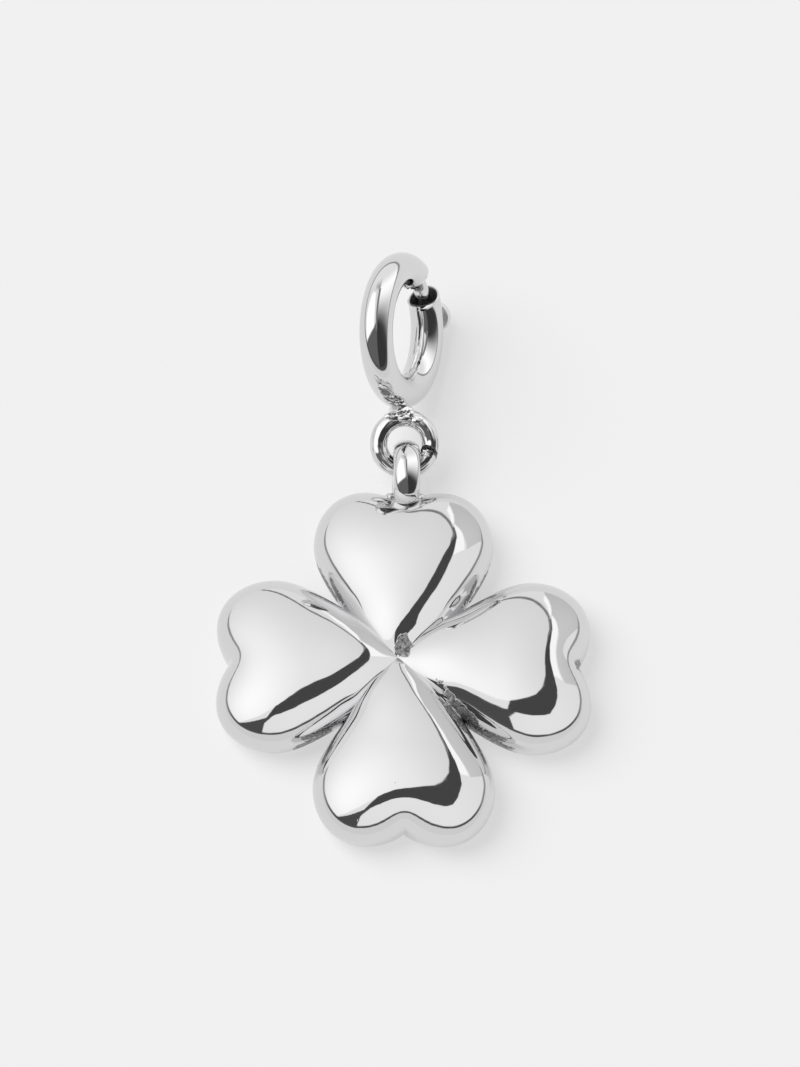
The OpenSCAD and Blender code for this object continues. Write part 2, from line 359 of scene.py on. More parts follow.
def crown(share):
    """Its right lobe, from where it is widest to the top."""
    hip = heart_width / 2
    return bezier(
        (hip, widest_at), (hip, widest_at + crown_handle),
        (lobe_x + crown_handle, heart_length), (lobe_x, heart_length), share,
    )


def cleft(share):
    """The arc from the lobe's top down into the cleft."""
    turn = np.asarray(share) * np.arcsin(lobe_x / lobe_radius)
    return lobe_centre + lobe_radius * np.stack([-np.sin(turn), np.cos(turn)], -1)


def smooth(start, end, x):
    """A soft step from 0 to 1."""
    t = np.clip((x - start) / (end - start), 0, 1)
    return t * t * (3 - 2 * t)


def gentle(start, end, x):
    """A very soft step from 0 to 1 and its slope."""
    t = np.clip((x - start) / (end - start), 0, 1)
    return t ** 3 * (t * (6 * t - 15) + 10), 30 * t * t * (t - 1) ** 2 / (end - start)


class Cushion:
    """The skin of one heart, blown up evenly over its outline: its height squared bends the same
    everywhere inside and is nothing on the outline, which gives full lobes and a soft edge. It is
    a sum of smooth skins and of poles just off the cleft and the point, where the outline is sharp."""

    centre, size = 8.0, 8.0
    terms, poles = 40, 20
    cleft_reach, point_reach, nearer = 4, 5, 0.6  # how far off the poles stand, and how they close in

    def __init__(self):
        outline = np.vstack([
            flank((1 - np.cos(np.linspace(0, pi, 300))) / 2),
            crown(np.linspace(0, 1, 200)),
            cleft(1 - (1 - np.linspace(0, 1, 300)) ** 4),
        ])
        step = np.exp(-self.nearer * np.arange(self.poles))
        off_cleft, off_point = self.cleft_reach * step, self.point_reach * step
        self.reach = np.concatenate([off_cleft, off_point]) / self.size
        self.pole = np.concatenate([
            cleft_at - self.centre + off_cleft, -point_overlap - self.centre - off_point,
        ]) / self.size
        w = self.spot(outline[:, 0], outline[:, 1])
        on_outline = self.shapes(w)[0]
        scale = np.linalg.norm(on_outline, axis=0)
        self.share = np.linalg.lstsq(on_outline / scale, np.abs(w) ** 2 / 4, rcond=1e-13)[0] / scale
        ridge = np.linspace(4, 12, 400)
        self.top = self.rise(0 * ridge, ridge)[0].max()

    def spot(self, x, y):
        """A place as a complex number, with the heart's middle at nought."""
        return ((y - self.centre) + 1j * x) / self.size

    def shapes(self, w):
        """The simple skins that the heart's is a sum of, and how they change."""
        n = np.arange(self.terms + 1)
        w = w[:, None]
        powers = w ** n
        slopes = np.concatenate([0 * w, n[1:] * w ** (n[1:] - 1)], 1)
        near = self.reach / (w - self.pole)
        return np.real(np.hstack([powers, near])), np.hstack([slopes, -near / (w - self.pole)])

    def rise(self, x, y):
        """Height squared and how it changes along x and y."""
        w = self.spot(x, y)
        values, slopes = self.shapes(w)
        f = slopes @ self.share
        return (values @ self.share - np.abs(w) ** 2 / 4,
                (np.real(1j * f) - np.imag(w) / 2) / self.size,
                (np.real(f) - np.real(w) / 2) / self.size)


cushion = Cushion()

# Where the flank leaves the seam between two hearts, as a share of the flank
low, high = 0.1, 0.8
for _ in range(40):
    halfway = (low + high) / 2
    point = flank([halfway])[0]
    low, high = (halfway, high) if point[1] < point[0] else (low, halfway)
seam_end = low
notch = flank([seam_end])[0]
seam_length = hypot(*notch)

# Half of a heart's border: out along the seam, round the lobe and into the cleft
seam_steps, flank_steps, crown_steps, cleft_steps = 44, 34, 44, 30
seam_share = 1 - (1 - np.linspace(0, 1, seam_steps)[:-1]) ** 1.3
border = np.vstack([
    seam_share[:, None] * notch,
    flank(seam_end + (1 - seam_end) * np.linspace(0, 1, flank_steps)[:-1]),
    crown(np.linspace(0, 1, crown_steps)[:-1]),
    cleft(1 - (1 - np.linspace(0, 1, cleft_steps)) ** 1.4),
])
on_seam = np.arange(len(border)) < len(seam_share)
hub = np.array([0.0, widest_at])
front_rings, back_rings = 44, 16


def shifted(points, normals):
    """Moves the crossing of the four points off centre, and turns the surface with it."""
    x, y = points[..., 0], points[..., 1]
    near = np.clip(1 - (x * x + y * y) / shift_reach ** 2, 0, 1)
    weight = near ** 2
    slope_x, slope_y = -4 * near * x / shift_reach ** 2, -4 * near * y / shift_reach ** 2
    a, b = 1 + crossing_shift[0] * slope_x, crossing_shift[0] * slope_y
    c, d = crossing_shift[1] * slope_x, 1 + crossing_shift[1] * slope_y
    grown = a * d - b * c
    moved = points.copy()
    moved[..., 0] += crossing_shift[0] * weight
    moved[..., 1] += crossing_shift[1] * weight
    leaning = normals.copy()
    leaning[..., 0] = (d * normals[..., 0] - c * normals[..., 1]) / grown
    leaning[..., 1] = (a * normals[..., 1] - b * normals[..., 0]) / grown
    return moved, leaning / np.linalg.norm(leaning, axis=-1, keepdims=True)


def seam_fill(x, y):
    """Metal left standing in the valleys on either side of a heart."""
    total = 0
    for side in (1, -1):
        across, along = (y - side * x) / sqrt(2), (y + side * x) / sqrt(2)
        stretch = fill_height * smooth(*fill_starts, along) * smooth(*fill_ends, along)
        total = total + stretch * np.exp(-(across / fill_half) ** 2)
    return total


def drawn_in(share):
    """The border drawn in towards the hub by each of the shares, as flat points."""
    return hub + share[:, None, None] * (border - hub)


def both_halves(points, normals):
    """A whole heart from its right half."""
    normals[:, (0, -1), 0] = 0
    normals /= np.linalg.norm(normals, axis=-1, keepdims=True) + 1e-12
    flipped = np.array([-1, 1, 1])
    points = np.concatenate([points, (points * flipped)[:, -2:0:-1]], 1)
    normals = np.concatenate([normals, (normals * flipped)[:, -2:0:-1]], 1)
    return points, normals


def heart_front():
    """Points and surface directions of an upright heart's dome, ring by ring from the hub."""
    flat = drawn_in(np.sin(pi / 2 * np.arange(front_rings + 1) / front_rings))
    x, y = flat[..., 0], flat[..., 1]
    up, up_x, up_y = (v.reshape(x.shape) for v in cushion.rise(x.ravel(), y.ravel()))
    up = np.clip(up, 0, None)
    up[-1, ~on_seam] = 0
    tall = dome_height * np.sqrt(up / cushion.top)
    fade, fall = gentle(0, ridge_reach, y)
    tip = point_gain * np.exp(-y / point_reach)
    gain = (1 + ridge_gain * (1 - fade)) * (1 + tip)
    slack = ridge_gain * fall * (1 + tip) + (1 + ridge_gain * (1 - fade)) * tip / point_reach
    step = 1e-4
    fill_x = (seam_fill(x + step, y) - seam_fill(x - step, y)) / (2 * step)
    fill_y = (seam_fill(x, y + step) - seam_fill(x, y - step)) / (2 * step)
    points = np.dstack([flat, rim_height + tall * gain + seam_fill(x, y)])
    swell = gain * dome_height ** 2 / (2 * cushion.top)
    normals = np.dstack([
        -swell * up_x - tall * fill_x,
        -swell * up_y + tall ** 2 * slack - tall * fill_y,
        tall,
    ])
    return both_halves(points, normals)


def heart_back():
    """The same for its back, which is flat and rounds up to the rim."""
    rounding = np.sin(pi / 2 * np.arange(back_rings - 1) / (back_rings - 2))
    share = np.concatenate([[0, flat_share * 0.5], flat_share + (1 - flat_share) * rounding])
    flat = drawn_in(share)
    lift = np.clip((share - flat_share) / (1 - flat_share), 0, 1)[:, None]
    away = np.linalg.norm(flat, axis=-1) / seam_length
    weight = np.where(on_seam[None, :] | (away < 1), smooth(*flat_seam, away), 1)
    points = np.dstack([flat, rim_height * (1 - np.sqrt(np.clip(1 - lift ** 2, 0, 1))) * weight])
    normals = np.cross(np.gradient(points, axis=0), np.gradient(points, axis=1))
    normals *= -np.sign(normals[back_rings // 2, -1, 2])
    normals[0] = (0, 0, -1)
    along = np.gradient(border, axis=0)
    outward = np.stack([-along[:, 1], along[:, 0], 0 * along[:, 0]], -1)
    outward *= np.sign((outward[:, :2] * (border - hub)).sum(-1, keepdims=True))
    normals[-1, ~on_seam] = outward[~on_seam]
    return both_halves(points, normals)


def make_piece(name, points, faces, normals=None):
    """A new object from points in millimetres, each face given by its points, with its own
    surface direction at every corner where they are known."""
    mesh = bpy.data.meshes.new(name)
    mesh.from_pydata((np.asarray(points) * MM).tolist(), [], [tuple(int(i) for i in f) for f in faces])
    mesh.shade_smooth()
    if normals is not None:
        mesh.normals_split_custom_set([tuple(n) for n in normals])
    piece = bpy.data.objects.new(name, mesh)
    scene.collection.objects.link(piece)
    return piece


# The four hearts, each with one point at its hub, joined along their borders
clover_points, clover_faces, corner_normals = [], [], []
found = {}
same_spot = 2e-5
front, back_side = heart_front(), heart_back()
for quarter in range(4):
    for grid, is_front in ((front, True), (back_side, False)):
        points, normals = grid
        for _ in range(quarter):
            points = np.stack([points[..., 1], -points[..., 0], points[..., 2]], -1)
            normals = np.stack([normals[..., 1], -normals[..., 0], normals[..., 2]], -1)
        points, normals = shifted(points, normals)
        last, rays = points.shape[0] - 1, points.shape[1]
        number = np.zeros((last + 1, rays), int)
        for k in range(last + 1):
            for i in range(rays):
                shared = k in (0, last)
                key = tuple(np.round(points[k, i] / same_spot).astype(int)) if shared else None
                if key is None or key not in found:
                    number[k, i] = len(clover_points)
                    clover_points.append(points[k, i])
                    found[key] = number[k, i]
                else:
                    number[k, i] = found[key]
        for k in range(last):
            for i in range(rays):
                j = (i + 1) % rays
                corners = [(k, i), (k + 1, i), (k + 1, j), (k, j)] if k else [(0, i), (1, i), (1, j)]
                if not is_front:
                    corners.reverse()
                clover_faces.append([number[c] for c in corners])
                corner_normals.extend(normals[c] for c in corners)
clover = make_piece("clover_hearts", clover_points, clover_faces, corner_normals)


def polished_steel(name, tint, shine, wave, skin=None):
    """Buffed steel: a bright metal whose gloss varies a little, with the faint waves that grinding
    leaves, hair-fine scratches and, where a skin is given, the pitted grain of the raw casting,
    whose colour is also darkened strongly there as painted shade.
    Textures are scaled to the metre, and wave and depths are in metres."""
    material = bpy.data.materials.new(name)
    material.use_nodes = True
    tree = material.node_tree
    nodes, links = tree.nodes, tree.links
    metal = nodes["Principled BSDF"]
    metal.inputs["Metallic"].default_value = 1
    where = nodes.new("ShaderNodeTexCoord").outputs["Object"]

    def texture(kind, outcome, scale, place=where, **settings):
        node = nodes.new("ShaderNodeTex" + kind)
        links.new(place, node.inputs["Vector"])
        node.inputs["Scale"].default_value = scale
        for key, value in settings.items():
            node.inputs[key].default_value = value
        return node.outputs[outcome]

    def graded(value, low, high, start=0.0, end=1.0):
        """Goes from low to high as the value goes from start to end."""
        node = nodes.new("ShaderNodeMapRange")
        links.new(value, node.inputs["Value"])
        for key, number in (("From Min", start), ("From Max", end), ("To Min", low), ("To Max", high)):
            node.inputs[key].default_value = number
        return node.outputs["Result"]

    def bump(height, depth, under=None):
        node = nodes.new("ShaderNodeBump")
        node.inputs["Distance"].default_value = depth
        links.new(height, node.inputs["Height"])
        if under is not None:
            links.new(under, node.inputs["Normal"])
        return node.outputs["Normal"]

    cloud = texture("Noise", "Fac", scale=260, Detail=3)
    colour = nodes.new("ShaderNodeValToRGB")
    colour.color_ramp.elements[0].color = (tint * 0.97, tint * 0.97, tint * 0.975, 1)
    colour.color_ramp.elements[1].color = (tint, tint, tint * 1.01, 1)
    links.new(cloud, colour.inputs["Fac"])
    links.new(colour.outputs["Color"], metal.inputs["Base Color"])
    gloss = graded(cloud, shine[0], shine[1], start=0.3, end=0.7)

    ground = texture("Noise", "Fac", scale=620, Detail=1)
    surface = bump(ground, wave)
    ripple = texture("Wave", "Fac", scale=2300, Distortion=2, Detail=1)
    ripple.node.bands_direction = "Z"
    surface = bump(ripple, 1.5e-7, surface)
    stretch = nodes.new("ShaderNodeMapping")
    stretch.inputs["Rotation"].default_value = (0.3, 0.2, 0.9)
    stretch.inputs["Scale"].default_value = (16000, 900, 5000)
    links.new(where, stretch.inputs["Vector"])
    scratch = texture("Noise", "Fac", scale=1, place=stretch.outputs["Vector"], Detail=2)
    surface = bump(scratch, 4e-8, surface)
    speck = texture("Voronoi", "Distance", scale=620, Randomness=1)
    surface = bump(graded(speck, 1, 0, start=0.02, end=0.05), -6e-6, surface)
    if skin is not None:
        marked = nodes.new("ShaderNodeAttribute")
        marked.attribute_name = skin
        edge = texture("Noise", "Fac", scale=2600, Detail=3)
        blotchy = math_node(tree, "MULTIPLY_ADD", marked.outputs["Fac"], 0.75, edge)
        raw_and_shaded = graded(blotchy, 0, 1, start=0.8, end=0.95)
        grain = texture("Noise", "Fac", scale=3800, Detail=4, Roughness=0.7)
        pits = graded(grain, 0.55, 1, start=0.42, end=0.6)
        deep = math_node(tree, "MULTIPLY", pits, raw_and_shaded)
        surface = bump(deep, 3.5e-5, surface)
        rough = nodes.new("ShaderNodeMix")
        links.new(raw_and_shaded, rough.inputs["Factor"])
        links.new(gloss, rough.inputs["A"])
        rough.inputs["B"].default_value = 0.24
        gloss = rough.outputs["Result"]
        # Painted shade: where the skin is, the colour is darkened to between about a half and a fifth,
        # standing in for the shade in its pits and hollows; on the bolt's filed side it is a painted dark
        # reflection.
        darker = nodes.new("ShaderNodeHueSaturation")
        links.new(colour.outputs["Color"], darker.inputs["Color"])
        links.new(graded(deep, 1, 0.18), darker.inputs["Value"])
        links.new(darker.outputs["Color"], metal.inputs["Base Color"])
    links.new(gloss, metal.inputs["Roughness"])
    links.new(surface, metal.inputs["Normal"])
    return material


# How raw the skin is at each point, and so how much its colour is darkened there as painted shade
# in the notches, seam, crossing and cleft: each area fades out softly at its edge
x, y, z = np.array(clover_points).T
uneven = 0.45 * np.array([noise.noise(Vector(p) * 1.6) for p in clover_points])
away, off_seam = np.hypot(x, y), np.minimum(np.abs(x + y), np.abs(x - y)) / sqrt(2)
beside_notch = smooth(3.6, 1.2, off_seam) * smooth(11.6, 9.6, away) * smooth(7.0, 8.0, away)
beside_notch *= smooth(2.7, 2.0, z)
right_seam = smooth(0.5, 0.1, np.abs((x + y) / sqrt(2) - 0.3) + 0.5 * uneven)
right_seam = right_seam * smooth(9.5, 7, away) * smooth(1.5, 6, away) * (x > 0)
crossing = smooth(1.25, 0.75, np.hypot((x + 0.08) / 0.6, (y - 0.98) / 0.82) + uneven)
right_cleft = smooth(0.75, 0.3, np.hypot(x - cleft_at - 0.1, y + 0.15))
rawness_and_shade = np.clip(beside_notch + 0.8 * right_seam * (z > 1) + crossing + 0.8 * right_cleft, 0, 1)
rawness_and_shade *= smooth(0.2, 0.9, z)
raw_skin_and_shade = clover.data.attributes.new("raw_skin_and_shade", "FLOAT", "POINT")
raw_skin_and_shade.data.foreach_set("value", rawness_and_shade.astype(np.float32))
casting = polished_steel("buffed_casting", steel_tint, shine=(0.03, 0.055), wave=9e-6, skin="raw_skin_and_shade")
clover.data.materials.append(casting)
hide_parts("heart_clover")
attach(clover, "charm")
hearts_tent.inside.objects.link(clover)

# Bail
# A short domed band bent into a ring and stood on edge in the top heart's cleft, soldered at its
# foot. The band is polished steel, and the solder is a rough, pitted lump against the heart.
bail_across, bail_length, bail_width, bail_thick = 5.2, 5.8, 2.1, 1.0
bail_at = np.array([0.2, 15.71, 2.62])
bail_dome = bail_width * 0.62  # radius of the band's crowned outside
bail_ease, bail_side = 0.16, 0.28  # how its edges are rounded
dome_steps, edge_steps, inside_steps, bail_steps = 25, 6, 9, 120


def spun(section, steps, long_by, wobble, seed):
    """A closed ring about the X axis from a section of (radius, x) points, a little uneven."""
    count = len(section)
    points, faces = [], []
    for i in range(steps):
        a = 2 * pi * i / steps
        for radius, x in section:
            bend = noise.noise(Vector((cos(a) * 1.1 + seed, sin(a) * 1.1, x * 0.8)))
            reach = radius + wobble * bend
            points.append((x, (reach + long_by) * cos(a), reach * sin(a)))
    for i in range(steps):
        for j in range(count):
            a, b = i * count + j, i * count + (j + 1) % count
            c, d = (i + 1) % steps * count + j, (i + 1) % steps * count + (j + 1) % count
            faces.append((a, c, d, b))
    return points, faces


dome_arc = np.linspace(-1, 1, dome_steps) * (bail_width / 2 - bail_ease * 0.5)
band = [(bail_across / 2 - bail_dome + sqrt(bail_dome ** 2 - x * x), x) for x in dome_arc]
bore = bail_across / 2 - bail_thick
for a in np.linspace(0, pi / 2, edge_steps)[1:]:
    inward = bore + bail_ease + bail_side - (bail_side + bail_ease) * (1 - cos(a))
    band.append((inward, bail_width / 2 - bail_ease * (1 - sin(a))))
rounded = band[dome_steps:]
edge_from = bail_width / 2 - bail_ease
band += [(bore, x) for x in np.linspace(edge_from, -bail_width / 2 + bail_ease, inside_steps)]
band += [(r, -x) for r, x in reversed(rounded)]
points, faces = spun(band, bail_steps, long_by=(bail_length - bail_across) / 2, wobble=0.05, seed=3)
bail = make_piece("bail_ring", np.array(points) + bail_at, faces)
bail.data.materials.append(polished_steel("bail_polish", steel_tint, shine=(0.04, 0.08), wave=1.4e-5))
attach(bail, "charm")
clasp_tent.inside.objects.link(bail)


def solder_lump(name, drops, roughness, seed, voxel=0.045):
    """Drops of solder run together: each drop is a centre and its half sizes, in millimetres."""
    mesh = bpy.data.meshes.new(name)
    around, rows = 24, 12
    points, faces = [], []
    for centre, half in drops:
        first = len(points)
        for k in range(rows + 1):
            for i in range(around):
                tilt, turn = pi * k / rows, 2 * pi * i / around
                points.append((
                    centre[0] + half[0] * sin(tilt) * cos(turn),
                    centre[1] + half[1] * sin(tilt) * sin(turn),
                    centre[2] + half[2] * cos(tilt),
                ))
        for k in range(rows):
            for i in range(around):
                j = (i + 1) % around
                a, b = first + k * around, first + (k + 1) * around
                faces.append((a + i, b + i, b + j, a + j))
    mesh.from_pydata(points, [], faces)
    piece = bpy.data.objects.new(name, mesh)
    scene.collection.objects.link(piece)
    melt = piece.modifiers.new("melt", "REMESH")
    melt.mode, melt.voxel_size = "VOXEL", voxel
    settle = piece.modifiers.new("settle", "SMOOTH")
    settle.iterations, settle.factor = 4, 0.5
    bpy.context.view_layer.update()
    melted = bpy.data.meshes.new_from_object(piece.evaluated_get(bpy.context.evaluated_depsgraph_get()))
    piece.modifiers.clear()
    piece.data = melted
    outward = [v.normal.copy() for v in melted.vertices]
    for vertex, normal in zip(melted.vertices, outward):
        lift = noise.fractal(vertex.co * 1.9 + Vector((seed, 0, 0)), 1.1, 2.1, 3)
        pit = max(0.0, noise.noise(vertex.co * 5 + Vector((0, seed, 0))) - 0.2)
        vertex.co += normal * (roughness * lift - roughness * 1.6 * pit)
        vertex.co *= MM
    melted.shade_smooth()
    melted.name = name
    return piece


foot = solder_lump("bail_solder", [
    ((0.2, 13.6, 2.5), (1.15, 0.6, 1.05)),
    ((-0.95, 13.95, 2.2), (0.6, 0.36, 0.8)),
    ((1.25, 13.8, 2.4), (0.7, 0.42, 0.8)),
    ((0.2, 13.4, 3.2), (0.95, 0.36, 0.36)),
    ((-0.9, 13.75, 3.1), (0.42, 0.24, 0.2)),
    ((1.1, 13.6, 3.25), (0.32, 0.26, 0.24)),
    ((-0.3, 13.6, 3.45), (0.3, 0.24, 0.2)),
    ((0.55, 13.6, 3.45), (0.34, 0.22, 0.2)),
], roughness=0.045, seed=5.0)
foot.data.materials.append(polished_steel("solder", 0.66, shine=(0.1, 0.2), wave=2e-5))
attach(foot, "charm")
clasp_tent.inside.objects.link(foot)

# Joining ring
# Round steel wire bent into a small ring that runs through the bail, with its saw cut left open
# on the right, and soldered to the foot of the spring ring in an untidy heap.
link_across, link_wire = 5.42, 1.35
link_at, link_lean = np.array([0.07, 18.15, 3.26]), 20.6
cut_width, cut_at, cut_slant, cut_torn = 0.32, -24, 0.75, 0.12
link_steps, wire_sides = 260, 80
link_radius = (link_across - link_wire) / 2


def turned(x=0, y=0, z=0):
    """Turns in degrees about X, then Y, then Z, as a matrix."""
    return np.array((Matrix.Rotation(radians(z), 3, "Z") @ Matrix.Rotation(radians(y), 3, "Y")
                     @ Matrix.Rotation(radians(x), 3, "X")))


def wall_faces(rows, around):
    """The faces between rows of points that each go once round."""
    return [(k * around + j, k * around + (j + 1) % around,
             (k + 1) * around + (j + 1) % around, (k + 1) * around + j)
            for k in range(rows - 1) for j in range(around)]


def link_wear(theta, psi):
    """Drawing lines and plier marks, a slight flat where the bail has rubbed, and burrs at the cut."""
    lines = 0.05 * noise.noise(Vector((theta * 0.02, cos(psi) * 4.5, sin(psi) * 4.5)))
    marks = 0.02 * noise.noise(Vector((theta * 0.07, psi * 1.2, 4.0)))
    rubbed = 0.02 * exp(-((theta - 268) / 16) ** 2)
    from_cut = abs((theta - cut_at + 180) % 360 - 180)
    burr = 0.13 * exp(-(from_cut / 6) ** 2)
    burr *= noise.noise(Vector((theta * 0.45, cos(psi) * 2.2, sin(psi) * 2.2)))
    return lines + marks + burr - rubbed


def bent_wire():
    """The wire bent about Z once round, from one side of its saw cut to the other. The cut runs
    aslant through the wire, and its edges are torn a little."""
    half_wire, ease = link_wire / 2, 0.03
    # Each row is how far round it lies, how far it is eased off the cut, and half the wire there
    rows = [(0, 0.0, 0.0), (0, 0.0, half_wire - ease), (0, ease * 0.35, half_wire - ease * 0.3)]
    rows += [(way, ease if way == 0 else 0.0, half_wire) for way in np.linspace(0, 1, link_steps)]
    rows[-1] = (1, -ease, half_wire)
    rows += [(1, -ease * 0.35, half_wire - ease * 0.3), (1, 0.0, half_wire - ease), (1, 0.0, 0.0)]
    points = []
    for way, shift, half in rows:
        for j in range(wire_sides):
            psi = 2 * pi * j / wire_sides
            across, rise = link_radius + half * cos(psi), half * sin(psi)
            edge = degrees(cut_width / 2 / across)
            near_cut = max(0, 1 - 12 * min(way, 1 - way))
            tear = cut_torn * noise.noise(Vector((cos(psi) * 2.5, sin(psi) * 2.5, 3 * way)))
            tear += cut_slant * rise
            theta = radians(cut_at + edge + way * (360 - 2 * edge)) + (shift + tear * near_cut) / across
            extra = link_wear(degrees(theta), psi) if half > half_wire - ease else 0
            across, rise = across + extra * cos(psi), rise + extra * sin(psi)
            points.append((across * cos(theta), across * sin(theta), rise))
    return np.array(points), wall_faces(len(rows), wire_sides)


points, faces = bent_wire()
joining = make_piece("joining_ring", points @ turned(x=link_lean).T + link_at, faces)
# The sawn ends are marked as skin: a rougher, pitted grain, with the colour darkened as painted shade on the
# cut faces.
sawn_and_shaded = joining.data.attributes.new("sawn_and_shaded", "FLOAT", "POINT")
sawn_end = 4 * wire_sides
sawn_and_shaded.data.foreach_set("value", [
    float(k < sawn_end or k >= len(points) - sawn_end) for k in range(len(points))
])
joining.data.materials.append(
    polished_steel("link_polish", steel_tint, shine=(0.05, 0.09), wave=1.2e-5, skin="sawn_and_shaded")
)
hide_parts("clasp_tube")
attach(joining, "charm")
clasp_tent.inside.objects.link(joining)

# Spring ring
# Thin steel tube rolled round and bent into the clasp's ring, with a rolled seam on the inside, two
# mouths that face each other across the gap, and a slot for the thumb knob round the outside.
# Places round the ring and round the tube are in degrees, the tube's from its outermost line.
clasp_across, tube_across, tube_wall = 12.3, 2.6, 0.2
clasp_at, clasp_turn = np.array([-0.22, 26.65, 5.95]), turned(x=20.7, z=-1.8) @ turned(y=64.8)
gap_width, gap_at, mouth_lip = 2.7, 53, 0.07
slot_half, slot_from, slot_to = 0.5, -33.0, 19.0
seam_from, seam_to = 158, 202
flaw_turn, flaw_side = 235.5, 192  # its side is counted from the tube's innermost line
slot_columns, side_columns, seam_columns = 6, 32, 41
tube_steps, mouth_turn = 360, 17  # whole rows along the tube, and where they start off the gap
mouth_rounding = ((mouth_lip, 0), (mouth_lip * 0.3, mouth_lip * 0.3), (0, mouth_lip))
ring_radius, tube_radius = (clasp_across - tube_across) / 2, tube_across / 2
bore_radius = tube_radius - tube_wall
slot_psi, bore_psi = degrees(np.arcsin(slot_half / tube_radius)), degrees(np.arcsin(slot_half / bore_radius))
columns = np.concatenate([
    np.linspace(0, slot_psi, slot_columns)[:-1],
    np.linspace(slot_psi, seam_from, side_columns)[:-1],
    np.linspace(seam_from, seam_to, seam_columns)[:-1],
    np.linspace(seam_to, 360 - slot_psi, side_columns)[:-1],
    np.linspace(360 - slot_psi, 360, slot_columns)[:-1],
])
turns = np.sort(np.concatenate([
    np.linspace(gap_at + mouth_turn, gap_at + 360 - mouth_turn, tube_steps),
    [slot_from + 360, slot_to + 360],
]))


def in_clasp(points):
    """Where points of the clasp lie once it leans as it does on the table."""
    return np.asarray(points) @ clasp_turn.T + clasp_at


def flaw_share(theta, psi):
    """1 inside the leaf-shaped pitted flaw low on the left limb, 0 outside it. It is measured in
    millimetres along and round the tube, then turned to its own length and width."""
    u, v = (theta - flaw_turn) * 0.106, ((psi + 180) % 360 - flaw_side) * 0.0227
    along, across = (0.924 * u + 0.384 * v) / 0.65, 0.924 * v - 0.384 * u
    off = along ** 2 + (across / (0.25 + 0.13 * along)) ** 2 if abs(along) < 1.5 else 9
    return float(smooth(1.3, 0.7, off + 0.4 * noise.noise(Vector((u * 4, v * 4, 6)))))


def seam_groove(theta, psi):
    """The rolled seam: a groove that wanders between two raised lips, and the flaw's hollow."""
    slow, quick = noise.noise(Vector((theta * 0.035, 0, 7))), noise.noise(Vector((theta * 0.14, 3, 0)))
    wander = 4.5 * slow + 1.5 * quick
    width = 4.0 + 4.0 * max(0, noise.noise(Vector((theta * 0.06, 9, 0))))
    off = (psi - 180 - wander) / width
    lips = 0.03 * exp(-((off - 1.9) / 0.9) ** 2)
    ragged = noise.noise(Vector((theta * 0.4, psi * 0.1, 2)))
    return lips - 0.09 * exp(-off * off) - flaw_share(theta, psi) * (0.07 + 0.03 * ragged)


def inside_angle(psi):
    """A column's angle on the bore, where the slot takes up more of the round."""
    signed = psi if psi <= 180 else psi - 360
    size = abs(signed)
    if size < slot_psi:
        size = size * bore_psi / slot_psi
    else:
        size = bore_psi + (size - slot_psi) * (180 - bore_psi) / (180 - slot_psi)
    return radians(size if signed >= 0 else -size)


def tube_row(radius, turn_at, inner):
    """Points once round the tube, as far round the ring as turn_at says."""
    row = []
    for psi in columns:
        at = inside_angle(psi) if inner else radians(psi)
        across = ring_radius + radius * cos(at)
        theta = turn_at(across)
        extra = seam_groove(degrees(theta) % 360, psi) if radius == tube_radius else 0.0
        across += extra * cos(at)
        row.append((across * cos(theta), across * sin(theta), (radius + extra) * sin(at)))
    return row


def mouth(side, back_off):
    """Where a mouth's flat cut lies round the ring, at a distance across from the ring's axis."""
    if side > 0:
        return lambda across: radians(gap_at) + np.arcsin((gap_width / 2 + back_off) / across)
    return lambda across: radians(gap_at + 360) - np.arcsin((gap_width / 2 + back_off) / across)


def tube_side(radius, inner):
    """All rows of the tube's outside or bore, with the metal's edge rounded at both mouths."""
    into_metal = 1 if inner else -1
    rows = [tube_row(radius + into_metal * deep, mouth(1, off), inner) for deep, off in mouth_rounding]
    rows += [tube_row(radius, lambda across, turn=turn: radians(turn), inner) for turn in turns]
    for deep, off in reversed(mouth_rounding):
        rows.append(tube_row(radius + into_metal * deep, mouth(-1, off), inner))
    return rows


outer_rows, inner_rows = tube_side(tube_radius, False), tube_side(bore_radius, True)
mouth_rows = len(mouth_rounding)
row_turn = np.concatenate([[gap_at] * mouth_rows, turns, [gap_at + 360] * mouth_rows])
around, deep = len(columns), len(outer_rows)


def in_slot(k, j):
    """Whether the face that starts at row k and column j is cut away for the knob."""
    psi = (columns[j] + columns[(j + 1) % around]) / 2 if j + 1 < around else (columns[j] + 360) / 2
    turn = (row_turn[k] + row_turn[k + 1]) / 2
    return slot_from + 360 < turn < slot_to + 360 and (psi < slot_psi or psi > 360 - slot_psi)


points = [p for row in outer_rows + inner_rows for p in row]
inner_first = deep * around
faces = []
for k in range(deep - 1):
    for j in range(around):
        i = (j + 1) % around
        a, b, c, d = k * around + j, k * around + i, (k + 1) * around + i, (k + 1) * around + j
        if in_slot(k, j):
            continue
        faces.append((a, b, c, d))
        faces.append(tuple(inner_first + v for v in (d, c, b, a)))
        beside = ((k - 1, j, a, b), (k + 1, j, c, d), (k, (j - 1) % around, d, a), (k, i, b, c))
        for next_k, next_j, u, v in beside:
            if 0 <= next_k < deep - 1 and in_slot(next_k, next_j):
                faces.append((v, u, inner_first + u, inner_first + v))
last = (deep - 1) * around
for j in range(around):
    i = (j + 1) % around
    faces.append((i, j, inner_first + j, inner_first + i))
    faces.append((last + j, last + i, inner_first + last + i, inner_first + last + j))
ring = make_piece("spring_ring", in_clasp(points), faces)
